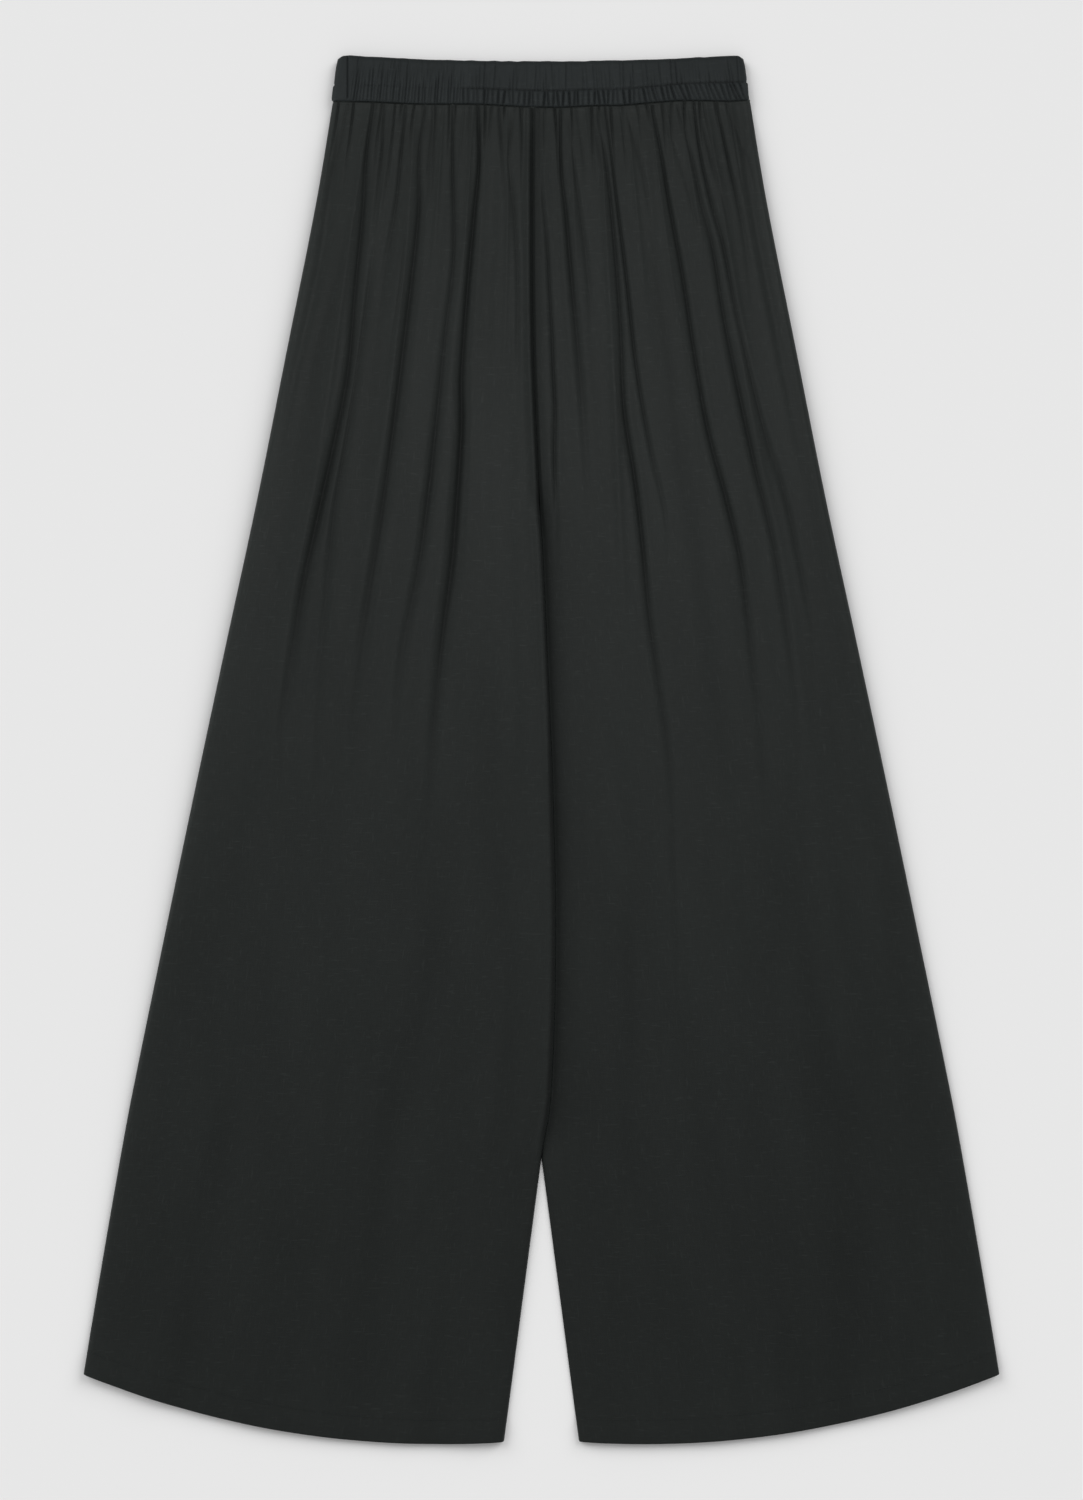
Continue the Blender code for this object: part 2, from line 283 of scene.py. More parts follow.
def stitch_row_tree():
    """Geometry nodes: stitches along the edges of a mesh."""
    tree = bpy.data.node_groups.new("stitch_row", "GeometryNodeTree")
    add_sockets(tree, "INPUT", {"Row": "Geometry", "Pitch": "Float", "Stitch Length": "Float"})
    add_sockets(tree, "INPUT", {"Thread Width": "Float", "Seed": "Int", "Material": "Material"})
    add_sockets(tree, "OUTPUT", {"Stitches": "Geometry"})
    given = add_node(tree, "NodeGroupInput")
    made = add_node(tree, "NodeGroupOutput")
    line = add_node(tree, "GeometryNodeMeshToCurve")
    even = add_node(tree, "GeometryNodeResampleCurve", mode="LENGTH")
    ball = add_node(tree, "GeometryNodeMeshUVSphere", Segments=6, Rings=5, Radius=0.5)
    size = add_node(tree, "ShaderNodeCombineXYZ")
    stitch = add_node(tree, "GeometryNodeTransform")
    along = add_node(tree, "GeometryNodeInputTangent")
    turn = add_node(tree, "FunctionNodeAlignRotationToVector", axis="Z")
    uneven = add_node(tree, "FunctionNodeRandomValue", data_type="FLOAT_VECTOR")
    uneven.inputs[0].default_value = (0.85, 0.85, 0.80)
    uneven.inputs[1].default_value = (1.10, 1.10, 1.08)
    sewn = add_node(tree, "GeometryNodeInstanceOnPoints")
    real = add_node(tree, "GeometryNodeRealizeInstances")
    smooth = add_node(tree, "GeometryNodeSetShadeSmooth")
    finish = add_node(tree, "GeometryNodeSetMaterial")
    join(
        tree,
        (given, "Row", line, "Mesh"),
        (line, "Curve", even, "Curve"),
        (given, "Pitch", even, "Length"),
        (given, "Thread Width", size, "X"),
        (given, "Thread Width", size, "Y"),
        (given, "Stitch Length", size, "Z"),
        (ball, "Mesh", stitch, "Geometry"),
        (size, "Vector", stitch, "Scale"),
        (stitch, "Geometry", smooth, "Geometry"),
        (along, "Tangent", turn, "Vector"),
        (given, "Seed", uneven, "Seed"),
        (even, "Curve", sewn, "Points"),
        (smooth, "Geometry", sewn, "Instance"),
        (turn, "Rotation", sewn, "Rotation"),
        (uneven, 0, sewn, "Scale"),
        (sewn, "Instances", real, "Geometry"),
        (real, "Geometry", finish, "Geometry"),
        (given, "Material", finish, "Material"),
        (finish, "Geometry", made, "Stitches"),
    )
    return tree


STITCH_ROW = stitch_row_tree()


def sew(name, lines, kind, thread, seed):
    """Rows of one kind of stitch along lines of points, as one plain mesh."""
    points, edges = [], []
    for line in lines:
        start = len(points)
        points += [tuple(point) for point in line]
        edges += [(number, number + 1) for number in range(start, len(points) - 1)]
    mesh = bpy.data.meshes.new(f"{name}_lines")
    mesh.from_pydata(points, edges, [])
    row = new_object(name, mesh, garment)
    sewing = row.modifiers.new("stitches", "NODES")
    sewing.node_group = STITCH_ROW
    given = {"Seed": seed, "Material": thread, **kind}
    for socket in STITCH_ROW.interface.items_tree:
        if socket.name in given:
            sewing[socket.identifier] = given[socket.name]
    sewn = row.evaluated_get(bpy.context.evaluated_depsgraph_get())
    row_mesh = bpy.data.meshes.new_from_object(sewn)
    row.modifiers.clear()
    row.data = row_mesh
    row_mesh.name = name
    return row


# -----------------------------------------------------------------------------
# Back of each leg: one panel of the legs' cloth from the waistband to the hem. It lies on the
# floor, gathered into the waistband, with folds that lift off it and the hem turned up inside.

RIGHT = -1  # the wearer's right leg, at -X
LEFT = 1  # the wearer's left leg, at +X
LENGTH = 1.080
BAND_HEIGHT = 34.6 * MM
WAIST_Y = LENGTH / 2 - BAND_HEIGHT
BAND_LOW_HALF = 162.4 * MM
BAND_SAG = 4.2 * MM
SEAM_DIPS = (  # how far below its even curve the seam runs at each x, in millimetres
    (-158, 1.4), (-130, 0.7), (-95, 1.0), (-50, 0.1), (-18, 1.4), (14, 2.1), (45, 1.0),
    (62, 1.2), (82, 0.0), (108, -1.2), (128, -0.4), (145, 0.7), (160, 0.7),
)
PLY = 0.7 * MM  # the cloth's thickness
NECK = (-1.8, -0.9, -0.3, 0.1, 0.45, 0.85, 1.4)  # rows below the waistband's edge, in millimetres
NECK_END = 2.2 * MM
NECK_TAPER = 0.01  # share of its half width that the tucked-in cloth loses with each millimetre
ROWS_END = 0.992  # share of a panel's length up to which its rows are spaced by one rule
LAST_ROWS = (0.9955, 0.998, 0.9993, 1.0)
HEM_DEPTH = 20 * MM
HEM_GAP = 0.5 * MM  # between the hem's two plies
HEM_TURN = PLY + HEM_GAP / 2  # radius of the outer face round the hem's fold
HEM_PULL = 1.6 * MM  # how far inside the seams the turned-up ply ends

Section = namedtuple("Section", "y half_width seam_x")
OUTLINE = (
    Section(0.510, 0.1612, -0.0070),
    Section(0.428, 0.1748, -0.0076),
    Section(0.311, 0.1980, -0.0066),
    Section(0.194, 0.2213, -0.0016),
    Section(0.078, 0.2463, 0.0035),
    Section(-0.039, 0.2712, 0.0082),
    Section(-0.156, 0.2955, 0.0101),
    Section(-0.272, 0.3192, 0.0062),
    Section(-0.317, 0.3275, 0.0000),
    Section(-0.389, 0.3400, 0.0000),
    Section(-0.485, 0.3560, 0.0000),
    Section(-0.545, 0.3650, 0.0000),
)
CROTCH_Y = 0.194
FORK_Y = -0.317
FORK_SLOPE = 0.132
HEM_OUTER_Y = -0.485
HEM_DIP = 54.2 * MM
HEM_LOWEST_AT = 0.85
HEM_CURVE = 2.0
RISE_LAP = 0.8 * MM
LEG_LAP = 2.4 * MM
LEG_CUTS_APART = 1.7  # metres between the panels' places in the weave, so that no two are alike
SIDE_CUTS_APART = 0.9
HEM_CUT = 0.03  # metres of the weave that the hem's turn takes


def ease(t):
    """0 at and before 0, 1 from 1 on, level at both ends."""
    t = np.clip(t, 0.0, 1.0)
    return t * t * (3.0 - 2.0 * t)


def smooth_curve(places, values, at):
    """Smooth curve through values at rising or falling places, level beyond its ends."""
    places, values = np.asarray(places, float), np.asarray(values, float)
    if places[0] > places[-1]:
        places, values = places[::-1], values[::-1]
    last = len(places) - 1
    numbers = np.arange(last + 1)
    before, after = np.maximum(numbers - 1, 0), np.minimum(numbers + 1, last)
    slopes = (values[after] - values[before]) / (places[after] - places[before])
    at = np.clip(at, places[0], places[-1])
    low = np.clip(np.searchsorted(places, at) - 1, 0, last - 1)
    span = places[low + 1] - places[low]
    t = (at - places[low]) / span
    bend = (t - 1.0) * (slopes[low] * (t - 1.0) + slopes[low + 1] * t) * t * span
    return values[low] + (values[low + 1] - values[low]) * ease(t) + bend


def outline_value(y, column):
    return smooth_curve([row.y for row in OUTLINE], [getattr(row, column) for row in OUTLINE], y)


def outer_x(leg, y):
    return leg * outline_value(y, "half_width")


def lap(y):
    """How far the right side lies over the left: a little at the rise, more between the legs."""
    rise = RISE_LAP * ease((y - CROTCH_Y) / (20 * MM))
    legs = LEG_LAP * ease((CROTCH_Y - y) / (40 * MM)) * ease((y - FORK_Y) / (30 * MM))
    return rise + legs


def inner_x(leg, y):
    below_fork = leg * (FORK_Y - y) * FORK_SLOPE
    return np.where(y < FORK_Y, below_fork, outline_value(y, "seam_x") - leg * lap(y) / 2)


def panel_x(leg, y, u):
    """x at a share u of the way from the side seam to the inseam or the rise."""
    return outer_x(leg, y) * (1.0 - u) + inner_x(leg, y) * u


def band_sag(x):
    return BAND_SAG * np.maximum(1.0 - (x / BAND_LOW_HALF) ** 2, 0.0)


def band_low_y(x):
    """Seam under the waistband, which sags a little in the middle and wanders as it was sewn."""
    dip = smooth_curve(*zip(*SEAM_DIPS), x / MM)
    return WAIST_Y - band_sag(x) - dip * MM


def hem_y(u):
    """Height of the hem, from the side seam (u = 0) to the inseam (u = 1)."""
    away = np.abs(1.0 - u / HEM_LOWEST_AT)
    return HEM_OUTER_Y - HEM_DIP * (1.0 - away**HEM_CURVE)


def crowded(count, crowding):
    """Shares from 0 to 1 that crowd towards both ends."""
    t = np.linspace(0.0, 1.0, count + 1)
    return t - crowding * np.sin(2.0 * np.pi * t) / (2.0 * np.pi)


Crease = namedtuple("Crease", "left right spread lip path")
CREASE_DEPTH = 1.25  # the tables' depths are taken this many times
CREASE_WIDTH = 1.25  # the tables' widths are taken this many times
TAIL_DEPTH = 0.12  # of the slow slope down to a crease, as a share of the crease's own depth
TAIL_WIDTH = 3.0  # and its width as a multiple of the crease's
RUN_OUT = 0.15  # of its length that a crease runs on past its last point, where it dies out
GROWTH = 0.45  # of the tables' spreads that is taken
SHALLOWER = 0.25  # share of their depth that creases lose from 180 to 320 mm up
NARROWER = 0.42  # share of their width that they lose from 370 to 480 mm up
FULL_LIPS = 4.0  # millimetres of depth from which a crease's lips stand in full
MOST_CREASE_SHADE = 0.45  # most shade painted into a crease's colour, reached at this depth in millimetres
CREASE_SHADE_FULL_AT = 4.5


def crease_relief(creases, x, y, most):
    """Depth of the creases, height of the lips beside them, and the shade painted into them.

    No crease goes deeper than the most that the cloth's loft allows there.
    """
    core, tail, lips, painted_shade = np.zeros((4, *x.shape))
    for crease in creases:
        xs, ys, depths = zip(*crease.path)
        middle = smooth_curve(ys, xs, y)
        end = ys[-1] - RUN_OUT * (ys[0] - ys[-1])
        depths = (*depths[:-1], 0.3 * depths[-2], 0.0)
        depth = np.where(y <= ys[0] + 4.0, np.interp(y, (end, *ys[::-1]), depths[::-1]), 0.0)
        depth = CREASE_DEPTH * depth * (1.0 - SHALLOWER * ease((y - 180.0) / 140.0))
        share = np.clip((ys[0] - y) / (ys[0] - ys[-1]), 0.0, 1.0)
        grown = 1.0 + GROWTH * (crease.spread - 1.0) * share
        depth = depth * grown**0.5
        depth = depth / (1.0 + (depth / most) ** 4) ** 0.25
        grown = grown * CREASE_WIDTH * (1.0 - NARROWER * ease((y - 370.0) / 110.0))
        aside = x - middle
        width = np.where(aside < 0.0, crease.left, crease.right) * grown
        from_middle = np.hypot(aside, 0.4 * width) - 0.4 * width
        core += (depth * np.exp(-((from_middle / width) ** (1.15 + 0.6 * share**2)))) ** 3
        tail += (depth * TAIL_DEPTH * np.exp(-np.abs(aside) / (TAIL_WIDTH * width))) ** 2
        full = np.minimum(depth, FULL_LIPS) / FULL_LIPS
        lips += crease.lip * full * np.exp(-(((np.abs(aside) - 2.6 * width) / (1.6 * width)) ** 2))
        # Painted shade: the crease's colour darkens along its bottom, and faintly beside it.
        shade_across = 0.8 * np.exp(-((aside / (0.5 * width)) ** 2))
        shade_across = shade_across + 0.3 * np.exp(-((aside / (1.4 * width)) ** 2))
        painted_shade = np.maximum(painted_shade, crease_shade(depth) * shade_across)
    return np.cbrt(core) + np.sqrt(tail), lips, painted_shade


def crease_shade(depth):
    """Shade painted into a crease of this depth, from 0 to 1."""
    return MOST_CREASE_SHADE * np.minimum(depth / CREASE_SHADE_FULL_AT, 1.0) ** 0.8


def fine_gathers(leg, seed, count, x, y):
    """Small tucks that start at the waistband and die out below it, in millimetres of depth."""
    random = np.random.RandomState(seed)
    deep = np.zeros_like(x)
    below = WAIST_Y / MM - y
    edge_in, edge_out = inner_x(leg, y * MM) / MM, outer_x(leg, y * MM) / MM
    for number in range(count):
        place = (number + 0.5 + random.uniform(-0.45, 0.45)) / count
        drift = random.uniform(-0.012, 0.012)
        reach = random.uniform(22.0, 95.0)
        depth = random.uniform(0.8, 2.3)
        width = random.uniform(0.5, 0.85)
        bow = random.uniform(-3.0, 3.0)
        along = np.clip(below / reach, 0.0, 1.0)
        middle = edge_out + (edge_in - edge_out) * (place + drift * along)
        middle = middle + bow * (1.0 - along) ** 4
        fade = (1.0 - ease(along)) * ease((below + 4.0) / 6.0)
        from_middle = np.hypot((x - middle) / width, 0.4) - 0.4
        deep = np.maximum(deep, depth * fade * np.exp(-(from_middle**1.3)))
    return deep


def wave_line(seed, spacing, length, at):
    """Smooth random line from -1 to 1 that repeats over a length."""
    random = np.random.RandomState(seed)
    knots = max(int(round(length / spacing)), 4)
    values = random.uniform(-1.0, 1.0, knots)
    t = (np.asarray(at, float) / length * knots) % knots
    low = np.floor(t).astype(int) % knots
    return values[low] + (values[(low + 1) % knots] - values[low]) * ease(t - np.floor(t))


PanelGrid = namedtuple("PanelGrid", "columns crowding rows row_crowding")
HEM_ROWS = 7  # round the hem's turn
HEM_PLY_ROWS = 4  # up the turned-up ply


def panel_grid(leg, grid):
    """Places of a panel's vertices: x, y, share u across, share v down, and the hem's turn."""
    u = crowded(grid.columns, grid.crowding)
    top_x = panel_x(leg, WAIST_Y, u)
    top_y = band_low_y(top_x)
    fold = hem_y(u) + HEM_TURN  # where the hem's turn begins
    shares = np.linspace(0.0, ROWS_END, grid.rows + 1) ** grid.row_crowding
    shares = np.append(shares, LAST_ROWS)
    rows = []
    for below in NECK:
        y = top_y - below * MM
        taper = NECK_TAPER * min(below, 0.0) * (np.abs(top_x) / BAND_LOW_HALF) ** 6
        x = top_x * (1.0 + taper)
        rows.append((x, y, u, np.zeros_like(u), np.zeros_like(u)))
    for v in shares:
        y = top_y - NECK_END + (fold - top_y + NECK_END) * v
        x = panel_x(leg, y, u)
        rows.append((x, y, u, np.full_like(u, v), np.zeros_like(u)))
    for step in range(1, HEM_ROWS + HEM_PLY_ROWS + 1):
        turn = min(step / HEM_ROWS, 1.0)
        back_up = HEM_DEPTH * max(step - HEM_ROWS, 0) / HEM_PLY_ROWS
        y = fold - HEM_TURN * math.sin(math.pi * turn) + back_up
        pull = HEM_PULL * ease(turn) / np.abs(outer_x(leg, y) - inner_x(leg, y))
        inside = 0.5 + (u - 0.5) * (1.0 - 2.0 * pull)
        x = panel_x(leg, y, inside)
        rows.append((x, y, u, np.ones_like(u), np.full_like(u, turn)))
    return [np.array(part) for part in zip(*rows)]


def cloth_mesh(name, vertices, faces, cut, painted_by, material):
    """A smooth mesh of cloth with its place in the cut and the light and shade painted at each
    vertex.
    """
    mesh = bpy.data.meshes.new(name)
    mesh.from_pydata(vertices.tolist(), [], faces.tolist())
    mesh.materials.append(material)
    mesh.shade_smooth()
    layer = mesh.uv_layers.new(name=CUT_MAP)
    loops = np.empty(len(mesh.loops), dtype=np.int32)
    mesh.loops.foreach_get("vertex_index", loops)
    layer.data.foreach_set("uv", cut[loops].astype(np.float32).ravel())
    painted_light_and_shade = mesh.attributes.new(PAINTED_LIGHT_AND_SHADE, "FLOAT", "POINT")
    painted_light_and_shade.data.foreach_set("value", painted_by.astype(np.float32).ravel())
    return mesh


def cloth_panel(name, leg, grid, height_of, outward, material):
    """A panel of cloth: its grid at the heights of its outer face, with a ply's thickness.

    height_of gives those heights in millimetres, and the shade painted into the cloth's colour.
    """
    x, y, u, v, turn = panel_grid(leg, grid)
    z, painted_shade = height_of(leg, x / MM, y / MM, u, v)
    z = z * MM - outward * HEM_TURN * (1.0 - np.cos(np.pi * turn))
    rows, columns = x.shape
    vertices = np.stack([x, y, z], axis=-1).reshape(-1, 3)
    numbers = np.arange(rows * columns).reshape(rows, columns)
    corners = [numbers[:-1, :-1], numbers[1:, :-1], numbers[1:, 1:], numbers[:-1, 1:]]
    if (leg == RIGHT) != (outward > 0):
        corners.reverse()
    faces = np.stack([corner.ravel() for corner in corners], axis=-1)
    # The cut's coordinates: along each row over its folds, and down the panel.
    across = np.cumsum(np.hypot(np.diff(x, axis=1), np.diff(z, axis=1)), axis=1)
    across = np.concatenate([np.zeros((rows, 1)), across], axis=1)
    across = across - across[:, -1:] * 0.5 + leg * LEG_CUTS_APART
    down = y + outward * SIDE_CUTS_APART + turn * HEM_CUT
    cut = np.stack([across, down], axis=-1).reshape(-1, 2)
    mesh = cloth_mesh(name, vertices, faces, cut, 1.0 - painted_shade, material)
    panel = new_object(name, mesh, garment)
    wall = panel.modifiers.new("ply", "SOLIDIFY")
    wall.thickness = PLY
    wall.offset = -1.0
    return panel


BACK_CREASES = (
    Crease(1.8, 1.8, 2.0, 0.0, (
        (-133, 500, 0.9), (-145, 420, 1.3), (-163, 290, 0.9), (-182, 165, 0.0))),
    Crease(1.6, 2.2, 2.2, 0.0, (
        (-98, 500, 1.1), (-104, 410, 1.5), (-117, 260, 1.1), (-130, 95, 0.0))),
    Crease(1.4, 1.6, 2.0, 0.0, (
        (-53, 500, 0.9), (-57, 430, 1.4), (-62, 330, 0.9), (-66, 205, 0.0))),
    Crease(1.3, 1.3, 1.6, 0.0, ((-76, 500, 0.7), (-79, 450, 1.0), (-84, 380, 0.0))),
    Crease(1.2, 1.4, 1.6, 0.0, ((-115, 500, 0.7), (-121, 450, 0.9), (-130, 385, 0.0))),
    Crease(1.4, 1.2, 1.8, 0.0, (
        (-27, 500, 0.8), (-26, 430, 1.1), (-28, 330, 0.6), (-30, 260, 0.0))),
    Crease(1.6, 1.6, 2.0, 0.0, ((45, 500, 1.0), (49, 420, 1.5), (56, 290, 1.1), (63, 120, 0.0))),
    Crease(1.8, 1.5, 2.0, 0.0, ((84, 500, 0.9), (94, 420, 1.3), (108, 320, 0.8), (122, 225, 0.0))),
    Crease(1.7, 1.9, 2.2, 0.0, (
        (128, 500, 1.0), (141, 420, 1.4), (160, 280, 0.9), (179, 145, 0.0))),
    Crease(1.2, 1.2, 1.6, 0.0, ((22, 500, 0.7), (24, 450, 1.0), (27, 370, 0.0))),
    Crease(1.3, 1.3, 1.6, 0.0, ((66, 500, 0.7), (71, 450, 0.9), (79, 365, 0.0))),
    Crease(1.3, 1.1, 1.6, 0.0, ((107, 500, 0.8), (115, 455, 1.0), (125, 390, 0.0))),
)
BACK_LOFT = 6.0  # millimetres that its creases could go deep
BACK_TUCKS = 30  # small ones of each panel
BACK_GRID = PanelGrid(columns=180, crowding=0.35, rows=108, row_crowding=1.3)


def round_edge(distance, radius):
    """0 at an edge, 1 from a radius in, rounded like a quarter circle."""
    t = np.clip(distance / radius, 0.0, 1.0)
    return np.sqrt(np.maximum(1.0 - (1.0 - t) ** 2, 0.0))


def from_edges(leg, x, y):
    """How far below the waistband, in from the side seam, and in from the rise or the inseam."""
    below = band_low_y(x * MM) / MM - y
    from_side = np.abs(x - outer_x(leg, y * MM) / MM)
    from_inner = np.abs(x - inner_x(leg, y * MM) / MM)
    return below, from_side, from_inner


def back_under(leg, x, y, u, v):
    """Height of the back's outer face, which is the under one, and the shade painted into its
    creases.
    """
    below, outer_edge, inner_edge = from_edges(leg, x, y)
    deep, _, painted_shade = crease_relief(BACK_CREASES, x, y, BACK_LOFT)
    deep = np.maximum(0.9 * deep, 0.3 * fine_gathers(leg, 31 + leg, BACK_TUCKS, x, y))
    free = ease(outer_edge / 5.0) * ease(inner_edge / 5.0)
    rounding = 1.1 * (1.0 - round_edge(outer_edge, 3.0))
    lifted = np.zeros_like(x)
    if leg == RIGHT:
        lapped = ease(lap(y * MM) / MM / 0.3)
        over_leg = ease((CROTCH_Y / MM - y) / 4.0 + 0.5)
        rise_lift = 0.8 * (1.0 - ease((inner_edge - 1.4) / 3.0)) * lapped
        leg_lift = 1.75 * (1.0 - ease((inner_edge - 2.6) / 6.5)) * lapped
        lifted = rise_lift + (leg_lift - rise_lift) * over_leg
    tucked = 1.0 - ease((below - 0.2) / 4.0)
    return (deep * free + rounding + lifted) * (1.0 - tucked) + 1.7 * tucked, painted_shade


STITCHED_AT = 0.95  # of the hem's depth


def hem_stitches(name, leg, height_of, offset, seed):
    """The row of stitches that holds a panel's hem, this far out from the panel's face."""
    u = np.linspace(0.008, 0.992, 420)
    y = hem_y(u) + STITCHED_AT * HEM_DEPTH
    x = panel_x(leg, y, u)
    top = band_low_y(outer_x(leg, WAIST_Y) * (1.0 - u)) - NECK_END
    v = (top - y) / (top - hem_y(u))
    z = height_of(leg, x / MM, y / MM, u, v)[0] * MM + offset
    line = np.stack([x, y, z], axis=-1)
    row = sew(name, [line], HEM_STITCH, HEM_THREAD, seed)
    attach(row, "root")
    return row


for leg, side in ((RIGHT, "right"), (LEFT, "left")):
    panel = cloth_panel(f"back_panel_{side}", leg, BACK_GRID, back_under, -1, LEG_CLOTH)
    stitches = hem_stitches(f"back_hem_stitches_{side}", leg, back_under, 0.04 * MM, 21 + leg)
    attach(panel, "root")
    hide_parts(f"back_leg_{side}")

# -----------------------------------------------------------------------------
# Front of each leg: one panel like the back's, lying on it. It carries the folds that fan out
# from the gathers, sinks to the seams at its edges and stands open a little at the hem.

